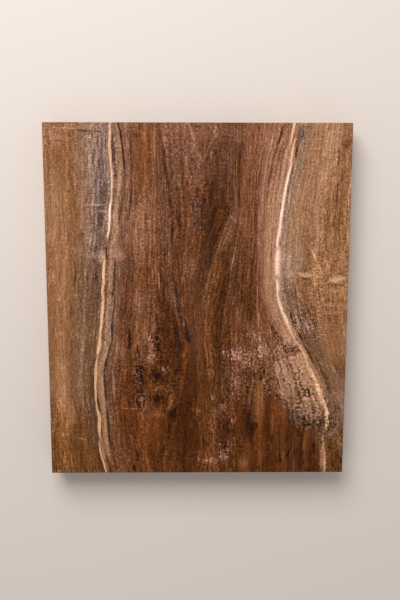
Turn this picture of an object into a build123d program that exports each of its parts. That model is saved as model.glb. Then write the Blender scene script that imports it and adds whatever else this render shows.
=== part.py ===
from build123d import *
import math
import os

# A wide walnut board, sawn from one slab and dressed on both faces. It lies flat: X runs across
# the grain, Y along it and Z up through the thickness. The show face is on top, its head end
# at +Y and its foot end at -Y. The origin is the middle of the face that it rests on.
# All sizes are in millimetres.

# Dressed size
board_width = 330.0
board_length = 390.0
board_thickness = 38.0

# Radius that sanding leaves on every arris, the edge where two faces meet
arris_radius = 0.8

# Shallow hollow that the saw left in the right-hand edge: its middle is this far from the head
# end, it is this long, bites this far into the show face and fades out this far down the edge
edge_hollow_from_head = 59.0
edge_hollow_length = 24.0
edge_hollow_bite = 0.9
edge_hollow_reach = 14.0

# Two drying checks, thin cracks that open at the foot end and close along the grain. Each has
# its distance from the left-hand edge, its width at the end, and how far it runs along and down
outer_check_from_left = 55.0
outer_check_width = 1.5
outer_check_length = 7.0
outer_check_depth = 6.0
inner_check_from_left = 93.5
inner_check_width = 1.1
inner_check_length = 12.0
inner_check_depth = 9.0

# How far a cutting solid stands out of the board, so that it cuts cleanly
cutter_overrun = 2.0

part_folder = "parts"


def dressed_blank():
    """The squared board with all twelve arrises eased."""
    blank = Box(
        board_width,
        board_length,
        board_thickness,
        align=(Align.CENTER, Align.CENTER, Align.MIN),
    )
    return fillet(blank.edges(), arris_radius)


def edge_hollow_cutter():
    """A large cylinder that leans across the right-hand top arris and planes off a shallow hollow."""
    slant = math.hypot(edge_hollow_bite, edge_hollow_reach)
    cut_depth = edge_hollow_bite * edge_hollow_reach / slant
    cutter_radius = edge_hollow_length**2 / (8 * cut_depth) + cut_depth / 2
    hollow_y = board_length / 2 - edge_hollow_from_head
    arris_point = Vector(board_width / 2, hollow_y, board_thickness)
    outward = Vector(edge_hollow_reach, 0, edge_hollow_bite).normalized()
    down_edge = Vector(edge_hollow_bite, 0, -edge_hollow_reach).normalized()
    cutter_centre = arris_point + outward * (cutter_radius - cut_depth)
    cutter_plane = Plane(origin=cutter_centre, x_dir=outward, z_dir=down_edge)
    return cutter_plane * Cylinder(cutter_radius, 2 * (slant + cutter_overrun))


def check_cutter(from_left, width, length, depth):
    """A V-shaped groove that starts at nothing in the show face and deepens towards the foot end."""
    check_x = from_left - board_width / 2
    groove_run = length + cutter_overrun
    groove_depth = depth * groove_run / length
    wall_height = groove_depth + cutter_overrun
    half_width = width / 2 * wall_height / depth
    outside_foot = Vector(
        check_x, -board_length / 2 - cutter_overrun, board_thickness - groove_depth
    )
    profile_plane = Plane(origin=outside_foot, x_dir=(1, 0, 0), z_dir=(0, -1, 0))
    profile = profile_plane * Polyline(
        (0, 0), (half_width, wall_height), (-half_width, wall_height), close=True
    )
    climb = Vector(0, groove_run, groove_depth)
    return extrude(make_face(profile), amount=climb.length, dir=climb)


def board():
    """The whole board: the eased blank less the edge hollow and the two checks."""
    outer_check = check_cutter(
        outer_check_from_left, outer_check_width, outer_check_length, outer_check_depth
    )
    inner_check = check_cutter(
        inner_check_from_left, inner_check_width, inner_check_length, inner_check_depth
    )
    return dressed_blank() - edge_hollow_cutter() - outer_check - inner_check


os.makedirs(part_folder, exist_ok=True)
export_step(board(), os.path.join(part_folder, "board.step"))
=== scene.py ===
import math
import bpy
import bmesh
from mathutils import Matrix, Vector


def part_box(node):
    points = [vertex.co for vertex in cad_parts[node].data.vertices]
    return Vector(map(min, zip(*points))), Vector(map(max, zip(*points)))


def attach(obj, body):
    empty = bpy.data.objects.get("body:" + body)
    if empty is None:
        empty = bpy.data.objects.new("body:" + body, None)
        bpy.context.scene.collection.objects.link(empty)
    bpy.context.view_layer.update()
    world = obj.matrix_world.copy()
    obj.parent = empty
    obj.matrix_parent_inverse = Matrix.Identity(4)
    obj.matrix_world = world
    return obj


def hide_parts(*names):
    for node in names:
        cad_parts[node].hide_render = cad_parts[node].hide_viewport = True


# A wide walnut board, dressed and sanded, lying flat with its show face up. X runs across the
# grain, Y along it towards the head end. Lengths are in metres unless a name or note says mm.

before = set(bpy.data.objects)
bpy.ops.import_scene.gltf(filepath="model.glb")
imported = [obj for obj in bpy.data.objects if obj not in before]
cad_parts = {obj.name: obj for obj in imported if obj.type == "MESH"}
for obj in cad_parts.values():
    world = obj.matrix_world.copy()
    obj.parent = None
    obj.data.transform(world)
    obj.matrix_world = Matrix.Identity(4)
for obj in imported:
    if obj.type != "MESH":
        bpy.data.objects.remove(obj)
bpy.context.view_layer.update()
boardLow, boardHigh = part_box("board")
boardWidth = boardHigh[0] - boardLow[0]
boardLength = boardHigh[1] - boardLow[1]
boardThickness = boardHigh[2] - boardLow[2]
mm = 0.001
print("frame loaded, board", round(boardWidth, 4), round(boardLength, 4), round(boardThickness, 4))


# Small helpers for node trees

def addNode(tree, kind, **settings):
    node = tree.nodes.new(kind)
    for name, value in settings.items():
        setattr(node, name, value)
    return node


def feed(tree, socket, value):
    # a socket is linked, anything else is written as the default
    if isinstance(value, bpy.types.NodeSocket):
        tree.links.new(value, socket)
    else:
        socket.default_value = value


def maths(tree, operation, *values, clamp=False):
    node = addNode(tree, "ShaderNodeMath", operation=operation, use_clamp=clamp)
    for socket, value in zip(node.inputs, values):
        feed(tree, socket, value)
    return node.outputs[0]


def plus(tree, first, second):
    return maths(tree, "ADD", first, second)


def minus(tree, first, second):
    return maths(tree, "SUBTRACT", first, second)


def times(tree, first, second):
    return maths(tree, "MULTIPLY", first, second)


def timesPlus(tree, first, second, added):
    return maths(tree, "MULTIPLY_ADD", first, second, added)


def centred(tree, value):
    # a noise taken about its middle
    return minus(tree, value, 0.5)


def vectorMaths(tree, operation, *values):
    node = addNode(tree, "ShaderNodeVectorMath", operation=operation)
    sockets = node.inputs
    if operation == "SCALE":
        sockets = [node.inputs["Vector"], node.inputs["Scale"]]
    for socket, value in zip(sockets, values):
        feed(tree, socket, value)
    return node.outputs["Value" if operation in ("LENGTH", "DOT_PRODUCT") else "Vector"]


def vectorPlus(tree, first, second):
    return vectorMaths(tree, "ADD", first, second)


def stretched(tree, vector, factors):
    return vectorMaths(tree, "MULTIPLY", vector, factors)


def mapRange(tree, value, fromLow, fromHigh, toLow=0.0, toHigh=1.0, smooth=False):
    # the smooth kind holds its ends; the plain one runs on past them
    node = addNode(tree, "ShaderNodeMapRange", clamp=False)
    node.interpolation_type = "SMOOTHSTEP" if smooth else "LINEAR"
    for socket, number in zip(node.inputs, (value, fromLow, fromHigh, toLow, toHigh)):
        feed(tree, socket, number)
    return node.outputs[0]


def heldShare(tree, value, low, high):
    # 0 at low, 1 at high. Least and greatest stand in for the clamp switch, with which the
    # renderer would keep the masks of all the marks at once and run out of room
    return maths(tree, "MINIMUM", maths(tree, "MAXIMUM", mapRange(tree, value, low, high), 0.0), 1.0)


def packVector(tree, x, y, z):
    node = addNode(tree, "ShaderNodeCombineXYZ")
    for socket, value in zip(node.inputs, (x, y, z)):
        feed(tree, socket, value)
    return node.outputs[0]


def splitVector(tree, vector):
    node = addNode(tree, "ShaderNodeSeparateXYZ")
    feed(tree, node.inputs[0], vector)
    return node.outputs


def blendColour(tree, factor, first, second, mode="MIX"):
    node = addNode(tree, "ShaderNodeMix", data_type="RGBA", blend_type=mode, clamp_factor=True)
    feed(tree, node.inputs[0], factor)
    feed(tree, node.inputs[6], first)
    feed(tree, node.inputs[7], second)
    return node.outputs[2]


def noise(tree, vector, size, detail=2.0, roughness=0.5, twist=0.0, colour=False):
    # size is the width of a typical patch, in the units of the vector
    node = addNode(tree, "ShaderNodeTexNoise", noise_dimensions="3D")
    feed(tree, node.inputs["Vector"], vector)
    node.inputs["Scale"].default_value = 1.0 / size
    node.inputs["Detail"].default_value = detail
    node.inputs["Roughness"].default_value = roughness
    node.inputs["Distortion"].default_value = twist
    return node.outputs["Color" if colour else 0]


def stretchedNoise(tree, place, stretch, size, detail=2.0, roughness=0.5, twist=0.0):
    return noise(tree, stretched(tree, place, stretch), size, detail, roughness, twist)


def placeGroup(tree, group, **values):
    node = addNode(tree, "ShaderNodeGroup", node_tree=group)
    for name, value in values.items():
        feed(tree, node.inputs[name], value)
    return node


def newGroup(name, inputs, outputs, kind="ShaderNodeTree"):
    tree = bpy.data.node_groups.new(name, kind)
    for way, sockets in (("INPUT", inputs), ("OUTPUT", outputs)):
        for socketName, socketKind in sockets:
            tree.interface.new_socket(name=socketName, in_out=way, socket_type="NodeSocket" + socketKind)
    return tree, addNode(tree, "NodeGroupInput").outputs, addNode(tree, "NodeGroupOutput").inputs


# The board's body: a box of evenly spaced rows whose arrises are rounded, with the hollow that
# the saw left in the right-hand edge pushed in

boardShape = {
    "arris": 0.8 * mm,
    "rowsAcross": 167,
    "rowsAlong": 197,
    "rowsDown": 21,
    "arrisRows": 2,
    "swell": 0.05 * mm,          # how far sanding leaves the faces hollow
    "swellSize": 60 * mm,
    "hollowFromHead": 59 * mm,
    "hollowLength": 24 * mm,
    "hollowBite": 0.9 * mm,
    "hollowReach": 14 * mm,
    "sharpFrom": math.radians(38),
}


def boardInputs(finish):
    # the tree's inputs: name, kind, value
    return [
        ("Width", "Float", boardWidth),
        ("Length", "Float", boardLength),
        ("Thickness", "Float", boardThickness),
        ("Arris", "Float", boardShape["arris"]),
        ("Rows Across", "Int", boardShape["rowsAcross"]),
        ("Rows Along", "Int", boardShape["rowsAlong"]),
        ("Rows Down", "Int", boardShape["rowsDown"]),
        ("Swell", "Float", boardShape["swell"]),
        ("Swell Size", "Float", boardShape["swellSize"]),
        ("Hollow From Head", "Float", boardShape["hollowFromHead"]),
        ("Hollow Length", "Float", boardShape["hollowLength"]),
        ("Hollow Bite", "Float", boardShape["hollowBite"]),
        ("Hollow Reach", "Float", boardShape["hollowReach"]),
        ("Finish", "Material", finish),
    ]


def easedAxis(tree, coordinate, size, rows, arris):
    # the last rows before each edge are gathered into the arris, the others spread evenly
    half = times(tree, size, 0.5)
    share = maths(tree, "DIVIDE", maths(tree, "ABSOLUTE", coordinate), half)
    turnShare = maths(tree, "DIVIDE", 2 * boardShape["arrisRows"], minus(tree, rows, 1))
    flatShare = minus(tree, 1.0, turnShare)
    flat = maths(tree, "MINIMUM", maths(tree, "DIVIDE", share, flatShare), 1.0)
    inner = times(tree, flat, minus(tree, half, arris))
    past = maths(tree, "DIVIDE", minus(tree, share, flatShare), turnShare, clamp=True)
    outer = maths(tree, "TANGENT", times(tree, past, math.pi / 4))
    side = maths(tree, "SIGN", coordinate)
    return times(tree, side, inner), times(tree, side, outer)


def easedBox(tree, given):
    # the box's mesh, the place of each point on the eased board and the way out from it
    box = addNode(tree, "GeometryNodeMeshCube")
    size = packVector(tree, given["Width"], given["Length"], given["Thickness"])
    feed(tree, box.inputs["Size"], size)
    place = splitVector(tree, addNode(tree, "GeometryNodeInputPosition").outputs[0])
    axes = (("X", "Width", "Rows Across"), ("Y", "Length", "Rows Along"), ("Z", "Thickness", "Rows Down"))
    cores = []
    turns = []
    for (axis, length, rows), coordinate in zip(axes, place):
        feed(tree, box.inputs["Vertices " + axis], given[rows])
        core, turn = easedAxis(tree, coordinate, given[length], given[rows], given["Arris"])
        cores.append(core)
        turns.append(turn)
    outward = vectorMaths(tree, "NORMALIZE", packVector(tree, *turns))
    arris = vectorMaths(tree, "SCALE", outward, given["Arris"])
    return box.outputs["Mesh"], vectorPlus(tree, packVector(tree, *cores), arris), outward


def swellInwards(tree, given, place, outward):
    # faint hollows, always inwards so that the board keeps its size
    swell = addNode(tree, "ShaderNodeTexNoise", noise_dimensions="3D")
    feed(tree, swell.inputs["Vector"], place)
    feed(tree, swell.inputs["Scale"], maths(tree, "DIVIDE", 1.0, given["Swell Size"]))
    swell.inputs["Detail"].default_value = 1.0
    inward = times(tree, times(tree, swell.outputs[0], given["Swell"]), -1.0)
    return vectorPlus(tree, place, vectorMaths(tree, "SCALE", outward, inward))


def pushHollow(tree, given, place):
    # the edge hollow is part of a wide cylinder that leans over the right-hand top arris
    def squared(value):
        return maths(tree, "POWER", value, 2.0)

    bite = given["Hollow Bite"]
    reach = given["Hollow Reach"]
    slant = maths(tree, "SQRT", plus(tree, squared(bite), squared(reach)))
    depth = maths(tree, "DIVIDE", times(tree, bite, reach), slant)
    chord = maths(tree, "DIVIDE", squared(given["Hollow Length"]), times(tree, depth, 8.0))
    radius = plus(tree, chord, times(tree, depth, 0.5))
    lean = vectorMaths(tree, "NORMALIZE", packVector(tree, reach, 0.0, bite))
    halfWidth, halfLength, halfThickness = [
        times(tree, given[name], 0.5) for name in ("Width", "Length", "Thickness")]
    fromMiddle = minus(tree, halfLength, given["Hollow From Head"])
    arrisPlace = packVector(tree, halfWidth, fromMiddle, halfThickness)
    standOff = vectorMaths(tree, "SCALE", lean, minus(tree, radius, depth))
    away = vectorMaths(tree, "SUBTRACT", place, vectorPlus(tree, arrisPlace, standOff))
    room = minus(tree, squared(radius), squared(splitVector(tree, away)[1]))
    wall = times(tree, maths(tree, "SQRT", maths(tree, "MAXIMUM", room, 0.0)), -1.0)
    leaning = vectorMaths(tree, "DOT_PRODUCT", away, lean)
    push = maths(tree, "MINIMUM", minus(tree, wall, leaning), 0.0)
    return vectorPlus(tree, place, vectorMaths(tree, "SCALE", lean, push))


def boardTree(inputs):
    sockets = [(name, kind) for name, kind, value in inputs]
    tree, given, result = newGroup("dressedBoard", sockets, [("Board", "Geometry")], "GeometryNodeTree")
    mesh, place, outward = easedBox(tree, given)
    place = swellInwards(tree, given, place, outward)
    place = pushHollow(tree, given, place)
    lift = packVector(tree, 0.0, 0.0, times(tree, given["Thickness"], 0.5))
    moved = addNode(tree, "GeometryNodeSetPosition")
    feed(tree, moved.inputs["Geometry"], mesh)
    feed(tree, moved.inputs["Position"], vectorPlus(tree, place, lift))
    real = addNode(tree, "GeometryNodeRealizeInstances")
    feed(tree, real.inputs[0], moved.outputs[0])
    finished = addNode(tree, "GeometryNodeSetMaterial")
    feed(tree, finished.inputs["Geometry"], real.outputs[0])
    feed(tree, finished.inputs["Material"], given["Finish"])
    feed(tree, result[0], finished.outputs[0])
    return tree


# Two drying checks in the foot end, thin wedges that wander a little as the fibres let go

dryingChecks = [
    {"fromLeft": 55.0 * mm, "width": 1.5 * mm, "length": 7.0 * mm, "depth": 6.0 * mm, "wander": 0.15 * mm},
    {"fromLeft": 93.5 * mm, "width": 1.1 * mm, "length": 12.0 * mm, "depth": 9.0 * mm, "wander": 0.25 * mm},
]
checkCut = {
    "overrun": 2 * mm,      # past the end and over the face, for a clean cut
    "stations": 9,
    "sway": 7.3,            # how far the wander turns from the end to the tip, in radians
    "swayStart": 900,       # and where it starts, for each metre from the left
    "tipGape": 0.02,
    "widest": 0.9,          # half width at most, as a share of the width
}


def wedgeRing(shape, check, share):
    # one section of a wedge; share is 0 outside the board's end and 1 at the tip
    y = boardLow[1] - checkCut["overrun"] + share * (check["length"] + checkCut["overrun"])
    gape = max(checkCut["tipGape"], 1 - (y - boardLow[1]) / check["length"])
    turn = checkCut["sway"] * share + check["fromLeft"] * checkCut["swayStart"]
    x = boardLow[0] + check["fromLeft"] + check["wander"] * math.sin(turn)
    bottom = boardHigh[2] - check["depth"] * gape
    top = boardHigh[2] + checkCut["overrun"]
    half = check["width"] * min((top - bottom) / check["depth"] / 2, checkCut["widest"])
    return [shape.verts.new(corner) for corner in ((x, y, bottom), (x + half, y, top), (x - half, y, top))]


def checkCutters():
    shape = bmesh.new()
    last = checkCut["stations"] - 1
    for check in dryingChecks:
        rings = [wedgeRing(shape, check, step / last) for step in range(checkCut["stations"])]
        for near, far in zip(rings, rings[1:]):
            for corner in range(3):
                following = (corner + 1) % 3
                shape.faces.new((near[corner], near[following], far[following], far[corner]))
        shape.faces.new(rings[0][::-1])
        shape.faces.new(rings[-1])
    bmesh.ops.recalc_face_normals(shape, faces=shape.faces)
    mesh = bpy.data.meshes.new("checkWedges")
    shape.to_mesh(mesh)
    shape.free()
    cutters = bpy.data.objects.new("checkWedges", mesh)
    bpy.context.scene.collection.objects.link(cutters)
    return cutters


def buildBoard(finish):
    holder = bpy.data.objects.new("boardRaw", bpy.data.meshes.new("boardRaw"))
    bpy.context.scene.collection.objects.link(holder)
    inputs = boardInputs(finish)
    tree = boardTree(inputs)
    values = {name: value for name, kind, value in inputs}
    shaping = holder.modifiers.new("dressedBoard", "NODES")
    shaping.node_group = tree
    for item in tree.interface.items_tree:
        if item.in_out == "INPUT":
            shaping[item.identifier] = values[item.name]
    cutters = checkCutters()
    cutting = holder.modifiers.new("dryingChecks", "BOOLEAN")
    cutting.operation = "DIFFERENCE"
    cutting.solver = "EXACT"
    cutting.object = cutters
    bpy.context.view_layer.update()
    evaluated = holder.evaluated_get(bpy.context.evaluated_depsgraph_get())
    mesh = bpy.data.meshes.new_from_object(evaluated)
    bpy.data.objects.remove(holder)
    bpy.data.objects.remove(cutters)
    mesh.name = "walnutBoard"
    mesh.materials.clear()
    mesh.materials.append(finish)
    mesh.polygons.foreach_set("material_index", [0] * len(mesh.polygons))
    mesh.polygons.foreach_set("use_smooth", [True] * len(mesh.polygons))
    mesh.set_sharp_from_angle(angle=boardShape["sharpFrom"])
    mesh.update()
    board = bpy.data.objects.new("walnutBoard", mesh)
    bpy.context.scene.collection.objects.link(board)
    return board


# The grain. Each guide is a line that a growth ring follows down the show face, given as
# (along, across) points in mm from the head end to the foot end. "ring" is the number that the
# whole line gets: between two lines it runs evenly from one ring number to the next, so that
# every pattern drawn over it bends with the lines.

grainGuides = [
    {"name": "outside left", "ring": -215, "line": [(200, -215), (-200, -215)]},
    {"name": "left edge", "ring": -165, "line": [(200, -165), (-200, -165)]},
    {"name": "left pale line", "ring": -104, "line": [
        (195, -93.6), (172, -93.8), (155, -92.8), (138, -91.8), (120, -92.2), (105, -94.2), (88, -95.2),
        (72, -98), (58, -100.4), (43, -101.3), (20, -103.2), (0, -105), (-22, -106.8), (-42, -108.9),
        (-58, -111.6), (-72, -113.5), (-92, -114.4), (-106, -113.7), (-118, -112), (-130, -109.7),
        (-148, -109.5), (-163, -108.8), (-178, -105.8), (-195, -102)]},
    {"name": "left dark line", "ring": -93, "line": [
        (195, -85.5), (182, -82.4), (168, -80.6), (150, -79.3), (132, -80), (115, -82.6), (100, -84.2),
        (72, -85.4), (55, -88.6), (38, -89), (18, -90.6), (0, -92.4), (-22, -94.7), (-40, -96.3),
        (-56, -99.3), (-70, -102.8), (-82, -104.2), (-98, -103.4), (-118, -101.5), (-148, -100.2),
        (-163, -98.7), (-178, -94.8), (-195, -90.8)]},
    {"name": "left red line", "ring": -74, "line": [
        (195, -72.4), (172, -71.2), (148, -70.4), (122, -71.2), (100, -73), (60, -75.6), (20, -77.2),
        (-20, -79), (-60, -81.4), (-90, -83), (-130, -81), (-195, -74)]},
    {"name": "centre left", "ring": -48, "line": [
        (195, -46), (100, -47.5), (0, -49), (-60, -52), (-110, -51), (-195, -46)]},
    {"name": "wedge left", "ring": -28, "line": [
        (195, -38), (165, -36), (130, -33), (95, -29.5), (55, -28), (27, -26.2), (10, -23), (-8, -20),
        (-20, -15.6), (-32, -11.4), (-46, -9), (-75, -14), (-110, -20), (-195, -27)]},
    {"name": "wedge right", "ring": 14, "line": [
        (195, 37), (145, 37.5), (97, 35.5), (75, 27.5), (50, 18.5), (28, 11.5), (0, 5.5), (-32, 2.5),
        (-60, 6), (-100, 12), (-195, 18)]},
    {"name": "right red line", "ring": 60, "line": [
        (195, 66), (165, 63.5), (130, 61), (95, 60.4), (20, 59.5), (-12, 58), (-40, 55), (-90, 53),
        (-195, 55)]},
    {"name": "right tan line", "ring": 90, "line": [
        (195, 91.6), (178, 87.6), (160, 81.8), (143, 78), (122, 75.4), (95, 74.4), (55, 73.4), (25, 73.6),
        (5, 75.2), (-14, 79), (-30, 84.6), (-48, 91.2), (-66, 95.4), (-86, 101.3), (-108, 107.5),
        (-132, 112), (-195, 115)]},
    {"name": "right pale line", "ring": 108, "line": [
        (195, 106), (178, 103), (160, 100), (142, 97), (125, 94.3), (108, 91.8), (92, 89.4), (76, 87.2),
        (58, 85.6), (40, 85.4), (24, 86.2), (8, 88), (-6, 91.8), (-20, 98), (-33, 104.6), (-45, 111),
        (-56, 117.6), (-68, 123.4), (-80, 130.6), (-93, 136.6), (-108, 142.8), (-122, 148.6), (-138, 148),
        (-152, 144.6), (-170, 143), (-195, 144)]},
    {"name": "right grey line", "ring": 125, "line": [
        (195, 121), (150, 114), (108, 107.5), (72, 104.6), (40, 103.8), (12, 106.5), (-10, 111.5),
        (-30, 118.5), (-50, 127), (-70, 138), (-90, 148), (-115, 158), (-150, 165), (-195, 171)]},
    {"name": "right edge", "ring": 178, "line": [
        (200, 165), (0, 165), (-40, 168), (-90, 178), (-140, 192), (-200, 212)]},
    {"name": "outside right", "ring": 228, "line": [(200, 225), (-200, 262)]},
]

# How the figure carries on below the show face: rings fan out and drift along with depth
belowFace = {"fan": 0.0032, "fanCurve": 0.00002, "drift": 0.75}

# The patch beside the right pale line where the wood swirls out of the grain: its two sides are
# given like the guides
swirlPatch = {
    "sides": [
        {"name": "swirl left", "line": [
            (-60, 76), (-80, 67.5), (-92, 62.5), (-104, 56), (-122, 53.5), (-150, 51), (-200, 46)]},
        {"name": "swirl right", "line": [
            (-60, 60), (-80, 69), (-90, 71), (-100, 77), (-105, 88), (-115, 96), (-122, 101), (-133, 106),
            (-141, 111), (-146, 122), (-150, 133), (-162, 136), (-178, 137), (-200, 139)]},
    ],
    "fade": 1.0,                          # how far in mm its edge fades and frays
    "fray": 1.8,
    "mottleFray": 4.0,
    "drips": ((1.0, 0.08, 1.0), 4.5),     # how its edge's drips are drawn out, and their width
    "dripLength": 34.0,
    "calm": 0.6,                          # how calm the wood in it is
    "span": (40.0, 146.0),                # from where to where its ribbons lie across the board
}


def guideCurve(tree, guide, along):
    node = addNode(tree, "ShaderNodeFloatCurve", label=guide["name"])
    mapping = node.mapping
    mapping.use_clip = False
    curve = mapping.curves[0]
    points = sorted(guide["line"])
    curve.points[0].location = points[0]
    curve.points[1].location = points[-1]
    for point in points[1:-1]:
        curve.points.new(*point)
    mapping.update()
    node.inputs["Factor"].default_value = 1.0
    feed(tree, node.inputs["Value"], along)
    guide["mapping"] = mapping
    return node.outputs[0]


def ringAt(across, along):
    # the ring number of a place on the show face, worked out as the nodes do
    places = [guide["mapping"].evaluate(guide["mapping"].curves[0], along) for guide in grainGuides]
    ring = grainGuides[0]["ring"]
    for index in range(len(grainGuides) - 1):
        width = places[index + 1] - places[index]
        share = min(1.0, max(0.0, (across - places[index]) / width))
        ring += share * (grainGuides[index + 1]["ring"] - grainGuides[index]["ring"])
    return ring


def grainGroup():
    # board place in mm in, grain place out: ring number, distance along, depth below the show face
    tree, given, result = newGroup("walnutGrain", [("Place", "Vector"), ("Wander", "Vector")],
                                   [("Grain", "Vector"), ("Face", "Vector")])
    x, y, z = splitVector(tree, given["Place"])
    depth = minus(tree, boardThickness / mm, z)
    fan = timesPlus(tree, depth, belowFace["fanCurve"], belowFace["fan"])
    spread = timesPlus(tree, fan, depth, 1.0)
    drifted = timesPlus(tree, depth, belowFace["drift"], y)
    onFace = vectorPlus(tree, packVector(tree, times(tree, x, spread), drifted, depth), given["Wander"])
    across, along, below = splitVector(tree, onFace)
    ring = float(grainGuides[0]["ring"])
    near = guideCurve(tree, grainGuides[0], along)
    for guide, following in zip(grainGuides, grainGuides[1:]):
        far = guideCurve(tree, following, along)
        share = heldShare(tree, across, near, far)
        ring = timesPlus(tree, share, float(following["ring"] - guide["ring"]), ring)
        near = far
    feed(tree, result["Grain"], packVector(tree, ring, along, below))
    feed(tree, result["Face"], onFace)
    return tree


def swirlGroup():
    # 1 inside the swirl patch, 0 outside it
    inputs = [("Face", "Vector"), ("Stray", "Float")]
    tree, given, result = newGroup("swirlPatch", inputs, [("Inside", "Float")])
    across, along = splitVector(tree, given["Face"])[:2]
    streaks = stretchedNoise(tree, given["Face"], *swirlPatch["drips"])
    dripped = timesPlus(tree, centred(tree, streaks), swirlPatch["dripLength"], along)
    left, right = [guideCurve(tree, side, dripped) for side in swirlPatch["sides"]]
    room = maths(tree, "MINIMUM", minus(tree, across, left), minus(tree, right, across))
    frayed = timesPlus(tree, given["Stray"], swirlPatch["fray"], room)
    inside = mapRange(tree, frayed, -swirlPatch["fade"], swirlPatch["fade"], smooth=True)
    feed(tree, result["Inside"], inside)
    return tree


# Soft-edged marks: full inside, fading over their outer part, frayed by the fibres. Every link in
# them joins sockets of one kind, as each change of kind would keep one more value waiting

def newMarkGroup(name, axes):
    inputs = [(axis, "Vector") for axis in axes]
    inputs += [(part, "Float") for part in ("Inside", "Fray", "Strength")]
    return newGroup(name, inputs, [("Mask", "Float")])


def fadeMark(tree, given, result, share):
    # share is 0 in the mark's middle and 1 at its rim
    frayed = plus(tree, share, given["Fray"])
    mask = mapRange(tree, frayed, 1.0, given["Inside"], 0.0, given["Strength"], smooth=True)
    feed(tree, result["Mask"], mask)
    return tree


def straightMarkGroup():
    tree, given, result = newMarkGroup("straightMark", ("Place", "Scale", "Shift"))
    away = vectorMaths(tree, "MULTIPLY_ADD", given["Place"], given["Scale"], given["Shift"])
    return fadeMark(tree, given, result, vectorMaths(tree, "LENGTH", away))


def leaningMarkGroup():
    # a mark that leans is measured along its own axes
    axes = ("Across", "Along", "Below")
    tree, given, result = newMarkGroup("leaningMark", ("Place", "Centre", *axes))
    away = vectorMaths(tree, "SUBTRACT", given["Place"], given["Centre"])
    parts = [vectorMaths(tree, "DOT_PRODUCT", away, given[axis]) for axis in axes]
    return fadeMark(tree, given, result, vectorMaths(tree, "LENGTH", packVector(tree, *parts)))


straightMark = straightMarkGroup()
leaningMark = leaningMarkGroup()


# Wood colours as they look on screen, 0 to 255
woodTones = {
    # the golden wood of both edges
    "brightGold": (170, 124, 91),
    "gold": (157, 109, 74),
    "duskyGold": (145, 98, 65),
    "brass": (137, 89, 52),
    "bronze": (111, 69, 37),
    # the grey wood beside the pale lines
    "ash": (148, 113, 91),
    "ashGrey": (134, 105, 91),
    "drab": (124, 88, 64),
    "slate": (106, 75, 57),
    # the heart
    "sorrel": (146, 98, 73),
    "chestnut": (132, 84, 58),
    "rust": (119, 73, 46),
    "russet": (104, 61, 36),
    "cocoa": (96, 58, 38),
    "umber": (87, 47, 24),
    "bitter": (77, 39, 17),
    "rosewood": (112, 71, 52),
    "pinkwood": (131, 87, 66),
    "amber": (114, 63, 32),
    "ember": (124, 73, 38),
    "honey": (142, 90, 56),
    # lines, spots and stains
    "cream": (248, 210, 180),
    "peach": (236, 182, 138),
    "tan": (178, 130, 98),
    "rosyTan": (168, 122, 99),
    "palePink": (196, 150, 128),
    "fleck": (166, 118, 94),
    "paleGrey": (176, 144, 126),
    "smoke": (112, 86, 74),
    "greyViolet": (104, 79, 68),
    "plum": (84, 56, 46),
    "orangeLine": (166, 108, 72),
    "darkRed": (66, 34, 20),
    "nearBlack": (38, 22, 14),
    "plumBlack": (54, 36, 31),
}

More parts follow.
